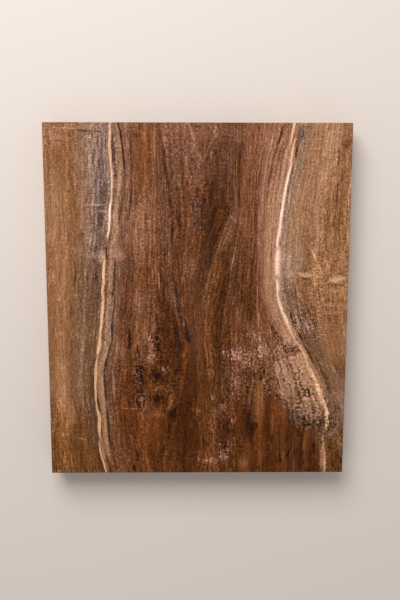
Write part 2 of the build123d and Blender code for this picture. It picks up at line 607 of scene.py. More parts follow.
# How the wood alters along the board: for stations from the head end to the foot end, in mm
# along, the tones met from the left edge to the right, each with its ring number
crossSections = [
    (168, [(-165, "gold"), (-142, "duskyGold"), (-126, "ash"), (-108, "ashGrey"), (-96, "drab"),
           (-84, "pinkwood"), (-66, "rust"), (-52, "rust"), (-36, "rosewood"), (-20, "rosewood"),
           (-4, "rosewood"), (24, "cocoa"), (44, "chestnut"), (62, "chestnut"), (78, "sorrel"),
           (96, "sorrel"), (104, "sorrel"), (118, "ash"), (132, "brightGold"), (153, "brightGold"),
           (171, "gold")]),
    (96, [(-165, "brightGold"), (-146, "gold"), (-136, "duskyGold"), (-122, "ash"), (-112, "ashGrey"),
          (-98, "drab"), (-86, "pinkwood"), (-70, "sorrel"), (-50, "chestnut"), (-38, "rosewood"),
          (-28, "cocoa"), (-14, "russet"), (-3, "umber"), (8, "umber"), (22, "rosewood"), (34, "rust"),
          (54, "rust"), (68, "chestnut"), (80, "sorrel"), (96, "tan"), (113, "ash"), (127, "brightGold"),
          (141, "brightGold"), (155, "duskyGold"), (178, "gold")]),
    (30, [(-165, "gold"), (-144, "gold"), (-130, "drab"), (-112, "slate"), (-96, "drab"),
          (-80, "rosewood"), (-66, "rust"), (-44, "russet"), (-30, "cocoa"), (-16, "russet"),
          (8, "cocoa"), (18, "russet"), (28, "umber"), (40, "cocoa"), (60, "russet"), (72, "rust"),
          (84, "sorrel"), (96, "tan"), (113, "ash"), (137, "gold"), (178, "gold")]),
    (-35, [(-165, "gold"), (-144, "duskyGold"), (-126, "drab"), (-112, "drab"), (-96, "ash"),
           (-80, "rust"), (-66, "rust"), (-54, "chestnut"), (-42, "umber"), (-34, "bitter"),
           (-20, "cocoa"), (6, "russet"), (18, "russet"), (30, "umber"), (44, "russet"), (60, "rust"),
           (86, "chestnut"), (104, "tan"), (117, "drab"), (133, "drab"), (149, "duskyGold"),
           (178, "duskyGold")]),
    (-90, [(-165, "gold"), (-144, "gold"), (-128, "drab"), (-112, "drab"), (-96, "drab"),
           (-84, "rosewood"), (-70, "amber"), (-58, "umber"), (-34, "umber"), (-10, "umber"),
           (14, "umber"), (36, "cocoa"), (56, "russet"), (76, "chestnut"), (90, "tan"), (107, "tan"),
           (121, "drab"), (139, "drab"), (178, "duskyGold")]),
    (-132, [(-165, "brass"), (-142, "brass"), (-126, "bronze"), (-112, "slate"), (-96, "drab"),
            (-80, "amber"), (-48, "amber"), (-34, "bitter"), (-16, "bitter"), (4, "umber"),
            (16, "russet"), (40, "umber"), (60, "umber"), (84, "slate"), (103, "slate"), (119, "drab"),
            (137, "ash")]),
    (-174, [(-165, "bronze"), (-142, "bronze"), (-112, "bronze"), (-92, "rust"), (-76, "rust"),
            (-62, "amber"), (-44, "umber"), (-18, "umber"), (0, "umber"), (12, "russet"), (44, "umber"),
            (97, "bitter"), (111, "bronze"), (137, "bronze")]),
]

# The ribbons of the swirl patch in the same way, each with its place across the board in mm
swirlSections = [
    (-98, [(50, "umber"), (60, "russet"), (64, "ember"), (70, "honey"), (76, "ember"), (82, "russet"),
           (96, "amber")]),
    (-122, [(50, "umber"), (56, "bitter"), (61, "russet"), (66, "ember"), (73, "ember"), (77, "bitter"),
            (80, "umber"), (84, "ember"), (90, "amber"), (97, "ember"), (104, "umber")]),
    (-148, [(48, "umber"), (54, "bitter"), (60, "bitter"), (63, "bitter"), (67, "amber"), (73, "umber"),
            (77, "bitter"), (81, "bitter"), (86, "amber"), (90, "umber"), (94, "amber"), (101, "umber"),
            (105, "bitter"), (109, "umber"), (113, "bitter"), (118, "bitter"), (124, "ember"),
            (129, "umber"), (134, "russet")]),
    (-178, [(46, "russet"), (54, "amber"), (60, "amber"), (66, "umber"), (72, "amber"), (78, "bitter"),
            (85, "umber"), (91, "umber"), (97, "amber"), (103, "bitter"), (109, "russet"),
            (116, "bitter"), (121, "russet"), (127, "bitter"), (133, "bitter"), (138, "umber")]),
]

# The surface's own sheen lies over every tone, so the tones are deepened by as much
sheenShare = (0.0033, 0.0040, 0.0053)


def woodColour(tone):
    # the tone as the linear values that nodes take, never quite black
    linear = []
    for part, less in zip(woodTones[tone], sheenShare):
        share = part / 255
        share = share / 12.92 if share <= 0.04045 else ((share + 0.055) / 1.055) ** 2.4
        linear.append(max(0.001, share - less))
    return (*linear, 1.0)


# Lines that go right through the board along the grain: by tone, across and along in mm on the
# show face, half width and half length in mm, strength
ringMarks = {
    "umber": [
        (105.4, 164, 1.8, 9, 0.95), (89.2, 184, 2.0, 13, 0.8), (123, -56, 2.2, 13, 0.8),
        (141.6, -84, 1.5, 13, 0.85), (149.4, -102, 1.6, 14, 0.85), (155, -118, 1.5, 13, 0.8),
    ],
    "plum": [
        (-89.4, 160, 2.2, 28, 0.85), (-98, 176, 1.1, 13, 0.85), (-72, 140, 1.8, 62, 0.6),
        (79.6, 152, 1.5, 40, 0.6), (69, 150, 1.1, 26, 0.4), (64.5, 120, 1.3, 40, 0.45),
        (-83.6, 100, 2.4, 16, 0.8),
    ],
    "tan": [
        (-107.4, -168, 2.0, 28, 0.9), (-84.4, 178, 2.0, 44, 0.6), (-84, 132, 2.2, 22, 0.8),
        (-88.6, 88, 4.0, 34, 0.6), (-96.4, 20, 3.6, 60, 0.45), (-108.2, -88, 5.2, 60, 0.75),
        (-105, -150, 4.4, 40, 0.75), (75, 160, 1.9, 44, 0.6), (70, 112, 1.7, 30, 0.5),
        (-93.6, -92, 1.6, 18, 0.6), (66, 178, 1.3, 18, 0.4),
    ],
    "rosyTan": [
        (86.4, -2, 4.2, 26, 0.6), (92.6, 150, 2.6, 40, 0.8), (86.6, 94, 2.6, 46, 0.6),
        (83, 50, 4.0, 40, 0.6), (80, 100, 1.4, 50, 0.4),
    ],
    "greyViolet": [
        (-106.4, 22, 2.4, 34, 0.75), (-101.2, 4, 0.9, 42, 0.6), (109.6, 182, 2.6, 16, 0.85),
        (98.2, 126, 1.4, 34, 0.8), (92.6, 88, 1.2, 18, 0.6),
    ],
    "orangeLine": [
        (28, 76, 1.6, 32, 0.5), (10.5, 24, 1.6, 30, 0.5), (-56, 176, 3, 20, 0.4),
    ],
    "darkRed": [
        (-71.2, 132, 1.2, 64, 0.5), (-79, 6, 1.6, 30, 0.7), (62.5, 96, 2.0, 46, 0.4),
        (58.5, 10, 3.2, 50, 0.5), (67, 20, 1.2, 50, 0.5),
    ],
    "nearBlack": [
        (-110.8, -113, 1.2, 9, 0.85), (-108, -148, 0.9, 6, 0.7),
    ],
    "plumBlack": [
        (-80.4, 172, 1.2, 52, 0.85), (-90.4, 30, 1.6, 34, 0.8), (-93.4, -18, 1.4, 34, 0.8),
        (-99, -56, 1.4, 24, 0.85), (-103.6, -92, 1.3, 34, 0.85), (-100.2, -146, 1.2, 34, 0.85),
        (-94.6, -180, 1.2, 18, 0.8), (-25.6, 20, 1.3, 22, 0.85), (-21, -4, 2.4, 12, 0.9),
        (-16, -20, 2.0, 10, 0.85), (-10, -36, 1.4, 12, 0.75),
    ],
    "palePink": [
        (85.8, 46, 5.6, 30, 0.6), (88.4, 84, 3.2, 24, 0.4),
    ],
    "peach": [
        (-93.8, 182, 1.6, 58, 0.8), (-102.6, 32, 2.0, 25, 1.0), (-105.4, -14, 2.6, 34, 1.0),
        (-109.2, -46, 2.9, 20, 1.0), (-113.5, -82, 1.9, 34, 1.0), (-113.4, -110, 1.2, 12, 0.9),
        (-109.8, -136, 2.2, 24, 1.0), (-107.6, -178, 1.5, 28, 0.85), (104, 202, 1.6, 38, 0.95),
        (100.4, 160, 1.5, 22, 0.95), (97.6, -20, 2.6, 16, 0.95), (88.6, 43, 2.4, 22, 0.55),
        (87.6, 22, 2.2, 12, 0.6), (104, -33, 2.0, 9, 0.95), (128.6, -82, 3.9, 16, 0.6),
        (135.4, -98, 3.6, 13, 0.65), (140.6, -112, 3.2, 12, 0.7), (146, -126, 2.8, 11, 0.7),
        (147, -139, 2.0, 7, 0.7), (112.4, -48, 1.3, 9, 0.95), (118.6, -58, 1.6, 8, 0.95),
    ],
    "cream": [
        (-94.6, 96, 1.5, 28, 1.0), (-92.6, 128, 1.0, 20, 0.6), (95.4, 130, 1.6, 26, 1.0),
        (91, 102, 1.8, 26, 1.0), (87.4, 74, 1.9, 20, 1.0), (86.1, 47, 2.8, 19, 0.95),
        (87.4, 17, 1.9, 14, 0.8), (89.6, 0, 2.2, 14, 0.95), (96.6, -17, 2.2, 13, 0.7),
    ],
}

# Marks on and just under the show face that follow the grain, laid out in the same way
grainMarks = {
    "brightGold": [
        (-151, -104, 8, 20, 0.5), (-141, -124, 7, 18, 0.5), (-154, 112, 10, 36, 0.35),
    ],
    "drab": [
        (101, 14, 8, 14, 0.6), (110, -106, 9, 10, 0.5), (-131, -82, 3.4, 28, 0.6),
    ],
    "amber": [
        (-60, 160, 10, 46, 0.45), (-13.6, 120, 4, 28, 0.7), (-53, -92, 3.4, 24, 0.7),
    ],
    "russet": [
        (36, 0, 6, 30, 0.4), (44, 150, 8, 16, 0.7), (-66, 132, 10, 26, 0.6),
    ],
    "cocoa": [
        (-24, 140, 16, 36, 0.65),
    ],
    "umber": [
        (-134, 32, 1.8, 18, 0.55), (-150, -20, 1.6, 24, 0.35), (-118, -90, 3, 26, 0.35),
        (-131, 26, 0.8, 7, 0.7), (-122, 0, 1.0, 30, 0.4), (150.7, 125, 1.8, 12, 0.6),
    ],
    "smoke": [
        (-108.6, 148, 1.0, 34, 0.5), (-104.4, 134, 0.9, 44, 0.5), (-112.6, 128, 1.0, 28, 0.45),
        (-110, 78, 1.6, 14, 0.7), (-106.4, 70, 1.4, 12, 0.7), (-116, 20, 1.2, 30, 0.4),
    ],
    "sorrel": [
        (-66, 62, 10, 22, 0.65),
    ],
    "pinkwood": [
        (-25, 150, 4.0, 44, 0.3), (-12, 180, 9, 18, 0.45), (35, 165, 1.4, 34, 0.6),
        (48.4, 116, 2.6, 42, 0.6), (32, 140, 1.0, 44, 0.5),
    ],
    "tan": [
        (-94.6, 60, 3.0, 9, 0.7), (-85, 33, 1.2, 9, 0.7), (-66, 84, 1.2, 22, 0.4),
        (-45.4, 44, 1.1, 26, 0.5), (-42.4, 26, 0.9, 18, 0.45), (38.6, 50, 1.1, 18, 0.6),
        (35.4, 26, 0.9, 10, 0.4),
    ],
    "paleGrey": [
        (-115.8, 151, 1.1, 20, 0.75), (-100.6, 108, 4, 14, 0.5), (-103, 84, 3, 13, 0.5),
        (-105, 52, 4.4, 9, 0.7), (98.6, 43, 4, 17, 0.5), (106, 44, 3, 16, 0.4),
    ],
    "greyViolet": [
        (-105, 118, 11, 76, 0.85), (103, -2, 6, 22, 0.35),
    ],
    "orangeLine": [
        (-46, 174, 3, 24, 0.55), (-78.5, 170, 1.2, 26, 0.4), (-62, 60, 1.0, 26, 0.35),
    ],
    "darkRed": [
        (-86, -48, 1.4, 14, 0.6), (-80, -150, 2, 34, 0.5), (-36, 150, 3.4, 34, 0.8),
        (-30.4, 108, 2.4, 24, 0.7), (-28.6, 76, 2.4, 18, 0.75), (23, 150, 1.6, 40, 0.5),
        (40, 170, 1.4, 26, 0.5), (44.3, 138, 1.1, 44, 0.9), (54, 140, 1.0, 34, 0.4),
        (27.6, 18, 2.2, 26, 0.75), (28, -8, 1.4, 10, 0.7), (-37, 4, 6, 22, 0.45),
        (25.4, 82, 2.0, 16, 0.75), (36.4, 30, 1.4, 12, 0.6), (-50.6, 150, 1.2, 34, 0.35),
    ],
    "nearBlack": [
        (-68.2, -175, 1.3, 12, 0.8), (-71.4, -190, 1.5, 7, 0.85), (16, 122, 3.4, 22, 0.55),
        (16.6, 92, 3.0, 18, 0.5), (18, 68, 3.4, 10, 0.65), (15, 48, 3.4, 20, 0.5),
        (44.6, 21, 0.9, 6, 0.9), (-20.6, -50, 2.0, 22, 0.6), (-19.4, 90, 1.2, 10, 0.7),
    ],
    "plumBlack": [
        (-25.2, -90, 1.5, 28, 0.9), (-22, -38, 4.4, 26, 0.75),
    ],
}

# Marks that cross or stain the grain: by tone, across and along, half width and half length, all
# in mm on the show face, the lean of the length towards the right as it comes down, in degrees,
# strength
faceMarks = {
    "brightGold": [
        (-138, 190, 24, 4, 0, 0.5),
    ],
    "gold": [
        (151, -46, 14, 20, 0, 0.5),
    ],
    "bronze": [
        (-134, -144, 11, 9, 12, 0.75), (148, 90, 14, 18, 0, 0.35), (-126, 74, 6, 5, 0, 0.4),
    ],
    "amber": [
        (-50, -145, 12, 15, 0, 0.5), (-28, -186, 20, 10, 0, 0.35), (80.5, -79, 2.2, 10, 0, 0.8),
        (-12, -60, 6, 20, 0, 0.35),
    ],
    "russet": [
        (14, -104, 14, 14, 0, 0.4), (86, -101, 6, 11, 20, 0.6),
    ],
    "cocoa": [
        (42, -92, 10, 22, 0, 0.4), (66, -81, 10, 15, 0, 0.95), (106, -54, 10, 8, 30, 0.75),
        (30, -171, 10, 10, 0, 0.6), (16, -180, 12, 6, 0, 0.4),
    ],
    "bitter": [
        (-4, -156, 18, 18, 0, 0.7), (30, -152, 18, 18, 0, 0.6),
    ],
    "drab": [
        (-108, 184, 10, 10, 0, 0.45),
    ],
    "plum": [
        (1, 98, 12, 36, 0, 0.6),
    ],
    "sorrel": [
        (-66, 2, 12, 18, 0, 0.55), (16, 186, 22, 14, 0, 0.6), (45, 184, 10, 13, 0, 0.55),
        (-26, 190, 20, 9, 0, 0.5), (-62, -112, 11, 22, 0, 0.4), (-88, -51, 9, 15, 0, 0.9),
        (-52, -59, 7, 9, 0, 0.7), (86, -91, 4.6, 10, 28, 0.7),
    ],
    "umber": [
        (-96, 60.5, 8, 0.9, 4, 0.7), (159, 173, 8, 6, 0, 0.45), (150.6, 158, 1.8, 13, 0, 0.5),
        (118.6, 28.4, 7, 0.9, 0, 0.7), (150, 21, 16, 1.0, 0, 0.45), (152, 3, 14, 0.9, 0, 0.45),
        (114, 8, 0.8, 24, 12, 0.5), (124.6, -12, 0.8, 14, 27, 0.5), (133.4, 14, 0.8, 20, 7, 0.45),
        (156, -172, 1.2, 16, 42, 0.7), (152, -184, 2.0, 12, 34, 0.5), (163, -150, 1.2, 10, 30, 0.5),
        (-123, -151, 6, 1.4, -40, 0.4), (10, 112, 9, 30, 0, 0.4), (54, 2, 15, 24, 0, 0.65),
    ],
    "pinkwood": [
        (62, -54, 30, 13, 8, 0.5), (55, -70, 12, 9, 0, 0.6), (40, -82, 10, 16, 0, 0.4),
        (51, 88, 6.4, 8, 0, 0.55), (54, -24, 6, 6, 0, 0.5), (-8, 40, 12, 17, 0, 0.4),
    ],
    "honey": [
        (-46, -127, 12, 5, 0, 0.6), (-31, -112, 4.2, 13, -14, 0.75), (-80.6, 52, 5, 3.6, 0, 0.6),
        (52, -183, 7, 6, 0, 0.6), (18, -180, 18, 4, 0, 0.35),
    ],
    "tan": [
        (-146, 179, 17, 3, 6, 0.35), (-150, 167, 14, 1.6, -14, 0.35), (-131, -154, 9, 1.2, -24, 0.5),
        (38.5, 92.5, 1.9, 7, 48, 0.5), (-17, 27, 0.9, 6, -6, 0.6), (-78, -119.6, 13, 1.0, -4, 0.45),
        (154, 14.6, 12, 2.8, 0, 0.6), (147, -1, 17, 1.8, 0, 0.6), (150, -9, 14, 2.2, 0, 0.5),
        (161, -160, 1.2, 12, 42, 0.5), (144, 94, 1.2, 10, 0, 0.5), (142.2, -172, 4.4, 28, 0, 0.85),
        (-124, 146, 14, 1.0, 2, 0.4),
    ],
    "rosyTan": [
        (-134, 57, 15, 6, 0, 0.4), (-87, 54, 9, 10, 0, 0.75), (71, 52, 7, 16, 0, 0.4),
        (110, 50, 7, 20, 0, 0.45), (152, 187, 7, 6, 0, 0.45), (-154, 186, 16, 10, 0, 0.45),
        (127, 54, 1.8, 10, 20, 0.6), (134, -112, 4, 24, 15, 0.5), (155, -104, 11, 15, 0, 0.5),
    ],
    "paleGrey": [
        (-112, 108.6, 13, 1.5, -2, 0.75), (-102, 101.4, 8, 1.5, 0, 0.75), (-114, 53, 12, 4.4, 0, 0.45),
        (-122, 131, 6.4, 5.4, 0, 0.4), (110, 52, 8, 20, 0, 0.4), (120, 32.6, 9, 3.2, 0, 0.6),
        (152, 26.6, 10, 3.4, 6, 0.6), (100, 34, 9, 5, 0, 0.5), (122, -121, 6.4, 5, 0, 0.4),
        (151.5, -149, 2.8, 3.4, 0, 0.6), (-15.8, -22, 1.1, 5, 8, 0.45), (118, 77, 10, 1.2, 0, 0.3),
    ],
    "palePink": [
        (98.6, -77, 2.4, 17, 26, 0.9), (107, -98, 2.4, 13, 12, 0.8), (88.4, -82, 2.4, 16, 17, 0.85),
        (95, -103, 2.2, 11, 18, 0.75), (113, -70, 2.2, 14, 28, 0.6), (75, -52, 1.6, 12, 26, 0.4),
        (104.4, -77, 1.3, 12, 26, 0.6), (113.4, -95, 1.5, 12, 20, 0.6), (120, -92, 1.5, 14, 22, 0.6),
    ],
    "greyViolet": [
        (-24.4, 3, 3.4, 9, 12, 0.5),
    ],
    "orangeLine": [
        (88.6, -34, 1.8, 14, 24, 0.6), (-7.6, 185, 1.0, 11, 9, 0.8), (1.6, 160, 1.4, 9, 33, 0.95),
        (18, 187, 1.4, 8, -15, 0.95), (13.6, 173, 1.1, 11, -20, 0.75), (8.8, 160, 1.1, 9, -20, 0.6),
        (-16.8, 1, 1.4, 9, 4, 0.6), (-12, -18, 1.3, 8, 26, 0.6),
    ],
    "darkRed": [
        (84.8, -74, 1.3, 11, 19, 0.85), (91.5, -93, 1.3, 11, 19, 0.8), (97.4, -108, 1.4, 9, 26, 0.85),
        (101.4, -90, 0.9, 14, 22, 0.85), (110.5, -84, 0.9, 18, 26, 0.7), (116, -92, 0.8, 16, 24, 0.6),
        (93, -78, 0.8, 13, 21, 0.7), (-33.6, -110, 0.8, 12, -12, 0.7), (-38, -112, 0.8, 10, -8, 0.6),
        (5, 172, 0.9, 18, 0, 0.4), (-44, -85, 7.4, 13, 0, 0.95), (-44, -97, 6, 7, 0, 0.6),
        (-44.6, -109, 6.4, 12, 0, 0.95), (-66, -78, 8.4, 17, 0, 0.85), (-65.4, -107, 7.4, 16, 0, 0.9),
    ],
    "nearBlack": [
        (-119, 186.6, 22, 1.3, -6, 0.65), (-112, 106, 10, 0.9, -2, 0.5), (-99, 57, 1.0, 10, 6, 0.85),
        (-23, 124, 1.1, 5, 0, 0.6), (4.4, 104, 2.6, 11, 0, 0.7), (5, 86, 2.4, 7, 0, 0.5),
        (-75, -41, 2.6, 13, 0, 0.85), (-74.6, -47, 3.4, 6, 0, 0.8), (-65.8, -54, 2.0, 11, 4, 0.9),
        (-45.6, -84, 4, 10, 0, 0.7), (-45.4, -109, 3.4, 9, 0, 0.8), (-28, -127, 6.4, 7.6, -16, 0.9),
        (-31.4, -143, 2.2, 10, -6, 0.85), (-40, -168, 2.2, 4.6, -15, 0.75),
        (-8.6, -119, 1.2, 4.6, -25, 0.6), (0, -132, 4.6, 5.8, 0, 0.75), (-13, -150, 1.4, 9, 0, 0.5),
        (-14, -168, 1.2, 11, 0, 0.5), (17.4, -97.6, 1.1, 5.6, 0, 0.9), (-3, -106, 3, 1.4, 40, 0.5),
        (104.6, -19, 1.2, 12, 26, 0.8), (114.4, -36, 1.5, 11, 33, 0.85), (113.4, -18, 1.1, 12, 34, 0.8),
        (127, -20, 1.0, 8, 30, 0.6), (82.3, -27, 1.8, 9, 24, 0.6), (94, -177.6, 1.7, 9.4, 0, 0.95),
        (102.6, -172.6, 1.5, 8.6, -20, 0.95), (117, -167, 1.2, 18, 0, 0.7),
        (120, -144.6, 0.9, 7, 0, 0.95), (131.6, -167, 2.2, 11, 2, 0.9), (84, -155, 1.2, 12, -4, 0.65),
        (109.6, -166, 0.9, 20, 0, 0.5), (126, -184, 1.0, 9, 0, 0.5), (92, -146, 0.8, 9, 4, 0.4),
        (58.6, -138, 5.4, 20, 0, 0.6), (127, -86.6, 1.6, 1.4, 0, 0.8), (143.6, -108.6, 1.4, 1.4, 0, 0.9),
    ],
    "rust": [
        (89.4, 67, 1.3, 5, 0, 0.75), (-2, -121.4, 8, 3.4, -24, 0.6), (0, -131.6, 1.6, 2.4, 0, 0.75),
    ],
    "peach": [
        (120, 33, 10, 3.8, 0, 0.5), (152, 26.6, 12, 4.2, 6, 0.5), (126.8, 54, 1.2, 10, 27, 0.75),
        (132.8, 41, 1.1, 7, 24, 0.6), (140.8, 45, 1.0, 9, 22, 0.65), (-140, 189, 16, 1.2, -4, 0.4),
        (144.8, -184, 1.6, 16, 0, 0.7),
    ],
}

# Speckled places, where the mark breaks up into dark grains: the burrs and the crushed wood of the
# swirl. Laid out like the marks on the face
speckledMarks = {
    "nearBlack": [
        (-65, -80, 7, 15, 0, 0.6), (-65, -108, 6, 13, 0, 0.65), (-71, -92, 4, 10, 0, 0.5),
        (-43.6, -46, 3.4, 11, 6, 0.9), (34, -32, 4, 4, 0, 0.7), (50.6, -28, 1.6, 6, 0, 0.8),
        (-36, 56, 3, 5, 0, 0.7), (68, -188, 6, 3, 0, 0.7),
    ],
    "smoke": [
        (114, -96, 5, 20, 18, 0.5), (150, -108, 4, 20, 24, 0.5),
    ],
    "plumBlack": [
        (123, -102.4, 4.6, 4.4, 0, 1.0), (88, -40, 2.6, 13, 26, 0.85), (95.6, -51, 3.4, 8, 40, 0.6),
        (76.6, -93, 5, 12, -6, 0.85), (72, -80, 3.4, 6, 0, 0.8), (40, -152, 6, 11, 36, 0.9),
        (31, -165, 6, 7, 0, 0.7), (34, -140, 3, 6, 0, 0.6), (104, -121, 2.6, 10, 32, 0.7),
        (92, -104, 2.4, 8, 24, 0.6), (112, -129, 6, 3.4, 0, 0.5), (127, -138, 10, 3.2, 0, 0.6),
        (113, -114, 3, 4, 0, 0.5), (138.6, -154, 3, 8, 0, 0.6), (146, -143, 4, 5, 0, 0.6),
        (34, -48, 8, 4, 0, 0.6), (88, -60, 8, 4, 30, 0.5), (54, -96, 2.4, 10, 0, 0.7),
        (103, -51, 8, 6, 0, 0.5), (35, -108, 2.4, 6, 20, 0.6), (80, -106, 4, 3, 30, 0.7),
        (113, -82, 4, 12, 28, 0.5), (152, -132, 5, 10, 10, 0.6), (70, -57, 4, 8, 25, 0.5),
        (36, -84, 8, 20, 0, 0.4),
    ],
    "rust": [
        (122.4, -102.8, 2.0, 1.8, 0, 0.9),
    ],
}

# The same with pale grains, which fall between the dark ones
fleckedMarks = {
    "pinkwood": [
        (-66, -84, 6, 18, 0, 0.45), (-64, -106, 5, 14, 0, 0.45), (-42, -95.6, 7, 5, 0, 0.45),
        (45, -88, 10, 22, 0, 0.7), (-6, 170, 24, 26, 0, 0.25), (30, -168, 11, 10, 0, 0.4),
    ],
    "sorrel": [
        (62, -38, 14, 9, 0, 0.6), (76, -36, 9, 9, 26, 0.6), (-52, -46, 5, 14, 0, 0.7),
        (27, -118, 6, 8, 0, 0.9), (14, -179, 14, 6, 0, 0.5), (57, -107, 2.0, 6, 0, 0.7),
        (69, -120, 5, 7, 0, 0.6), (-38, -73.6, 6, 7, 0, 0.7), (41, -134, 5, 3.4, 20, 0.5),
    ],
    "fleck": [
        (46, -58, 18, 10, 0, 0.9), (54, -68, 10, 11, 0, 0.9), (72, -54, 12, 11, 10, 0.85),
        (88, -56, 9, 9, 20, 0.9), (16.4, -108, 2.2, 4, 20, 0.8), (29, -174, 6, 5, 0, 0.45),
        (-53.4, -39.4, 5.4, 5.6, 0, 0.65), (-51.6, -60, 6.4, 6, 0, 0.7), (60, -95, 2, 4, -20, 0.9),
        (-38, -73.6, 3.4, 4, 0, 0.7),
    ],
    "rosyTan": [
        (120, -112, 10, 16, 14, 0.5), (130, -127, 14, 9, 0, 0.75), (116, -24, 14, 10, 30, 0.7),
        (90, -50, 11, 9, 20, 0.8), (89, -72, 8, 12, 20, 0.5),
    ],
    "palePink": [
        (103, -38, 10, 6, 34, 0.75), (108, -46, 7, 4, 30, 0.7), (123, -72, 3.4, 9, 28, 0.7),
        (97, -80, 8, 20, 24, 0.6), (104, -62, 11, 5, 20, 0.6),
    ],
    "paleGrey": [
        (110, -22, 6, 10, 30, 0.5), (122, -25, 8, 10, 30, 0.45),
    ],
    "peach": [
        (146, -139, 2.4, 7, 0, 0.9),
    ],
    "honey": [
        (124, -142.6, 5, 4, 0, 0.85), (70, -106, 6, 10, 0, 0.4),
    ],
}

# The broken part of the right pale line, speckled but along the grain
speckledLines = {
    "peach": [
        (123.6, -70, 3.0, 13, 0.9), (130, -84, 3.4, 12, 0.5), (137, -100, 3.4, 14, 0.5),
        (146.4, -124, 3.2, 14, 0.6), (135, -118, 2.6, 20, 0.5),
    ],
    "cream": [
        (130.6, -84, 2.6, 11, 0.6), (136.4, -99, 2.6, 11, 0.6), (141.6, -110, 2.0, 9, 0.5),
        (146, -122, 1.2, 8, 0.6),
    ],
}

# Where the figure is wild, as in a crotch, where light bands cross the grain, where stripes follow
# it, and where the wood is calm. Laid out like the marks on the face
figurePlaces = {
    "wild": [
        (-14, 160, 22, 44, 0, 0.2), (-5, 60, 70, 120, 0, 0.25), (-50, -80, 40, 60, 0, 0.6),
        (30, -150, 32, 60, 0, 0.6), (48, -80, 34, 52, 10, 0.8), (108, -90, 32, 75, 25, 0.9),
        (152, -120, 20, 70, 10, 0.7),
    ],
    "curly": [
        (140, 10, 55, 90, 0, 1.0), (-130, 185, 60, 25, 0, 0.8), (-120, 100, 40, 30, 0, 0.5),
        (140, 170, 40, 40, 0, 0.6),
    ],
    "striped": [
        (104, -86, 17, 36, 22, 1.0), (80, 150, 18, 60, 0, 0.5), (-106, 130, 12, 60, 0, 0.4),
        (142, -60, 14, 44, 30, 0.4),
    ],
    "calm": [
        (5, 178, 9, 26, 0, 0.9), (-13.5, 118, 5, 34, 0, 0.8), (40, -10, 11, 18, 0, 0.7),
        (-12, -148, 18, 28, 0, 0.8), (-48, -146, 20, 34, 0, 0.6), (150, -50, 18, 26, 0, 0.7),
        (10, -100, 18, 24, 0, 0.5), (-60, 160, 14, 34, 0, 0.4), (-142, 0, 34, 260, 0, 0.45),
        (5, 150, 62, 52, 0, 0.3), (-134, -160, 34, 36, 0, 0.5),
    ],
}

# The fine figure. Each texture follows the threads of the wood: how its place is scaled across,
# along and with depth, the width of its patches in mm and the detail in them
woodTextures = [
    ("speck", (1.0, 0.66, 0.5), 1.6, 1.0),
    ("pore", (1.0, 0.166, 0.5), 1.4, 0.0),
    ("fibre", (1.0, 0.11, 0.3), 2.3, 1.0),
    ("ringLine", (1.0, 0.011, 0.08), 3.2, 1.0),
    ("band", (1.0, 0.033, 0.1), 13.0, 2.0),
    ("curl", (1.0, 5.0, 0.4), 6.0, 2.0),
    ("cloud", (1.0, 0.6, 0.4), 9.0, 2.0),
]
textureRoughness = 0.58
# The mottle lies on the face by itself; its roughness and twist come last
mottleLook = ((1.0, 0.7, 1.0), 3.2, 3.0, 0.62, 0.5)

# How strongly each texture shades the wood, and what one kind of place adds to that
textureWeights = [
    ("speck", 2.5, 0.8, "wild"),
    ("fibre", 1.9, -0.9, "wild"),
    ("ringLine", 0.9, -0.6, "wild"),
    ("ringLine", 0.0, 2.8, "striped"),
    ("band", 2.0, -1.0, "wild"),
    ("mottle", 0.9, 1.2, "wild"),
    ("cloud", 0.0, 2.0, "wild"),
    ("curl", 0.4, 2.6, "curly"),
]

# How far the grain wanders off its guides: the width of each wandering in mm, the detail in it and
# its reach across, along and down
wanderings = [(34.0, 1.0, (2.6, 6.0, 0.0)), (7.0, 2.0, (1.1, 2.0, 0.0))]

# The heart's foot half is restless, so that its fibres and tones waver: where that sets in and
# where it is full, along the board and from either side, how the waves are drawn out, their width
# and detail, and how far they reach, all in mm
restless = {
    "along": (-30.0, -95.0),
    "left": (-92.0, -62.0),
    "right": (56.0, 30.0),
    "waves": ((1.0, 0.7, 1.0), 26.0, 1.0),
    "reach": 16.0,
}

# How the edges of tones and marks break up: frayed by the fibres, straying with the mottle as
# well, or broken into dark or pale grains by the specks
edgeLook = {
    "fibre": 1.3,
    "mottle": 2.0,
    "speck": 5.6,
    "speckMiddle": 0.46,
    "stray": 2.0,
    "pale": (-0.5, 0.35),         # the pale grains are the dark ones turned over
    "loose": 0.25,                # how far loose fibres shift a mark, in mm
    "sections": (0.0, 14.0),      # how far the plain wood's tones stray, across and along
    "ribbons": (3.0, 12.0),       # the same for the swirl's ribbons, which the cloud bends too
    "ribbonCloud": 5.0,
}

# How the shading is laid over the colour
shadeLook = {
    "poreRange": (0.60, 0.74),
    "poreDepth": 0.5,
    "contrast": (0.0, 0.4, 1.3, 0.35),    # from black to the pale lines: the share of the shading left
    "calm": 0.65,                         # how much of it calm wood and the swirl lose
    "deepening": (0.88, 1.06, 1.33),      # how a shade deepens red, green and blue
}

# How much of each kind of mark is full before it fades, and how deep in mm marks reach below the
# face: right through the board, or else by their width
markLook = {
    "line": 0.55,
    "mark": 0.4,
    "grains": 0.3,
    "place": 0.3,
    "through": 400.0,
    "shallowest": 4.0,
    "deepening": 2.0,
}


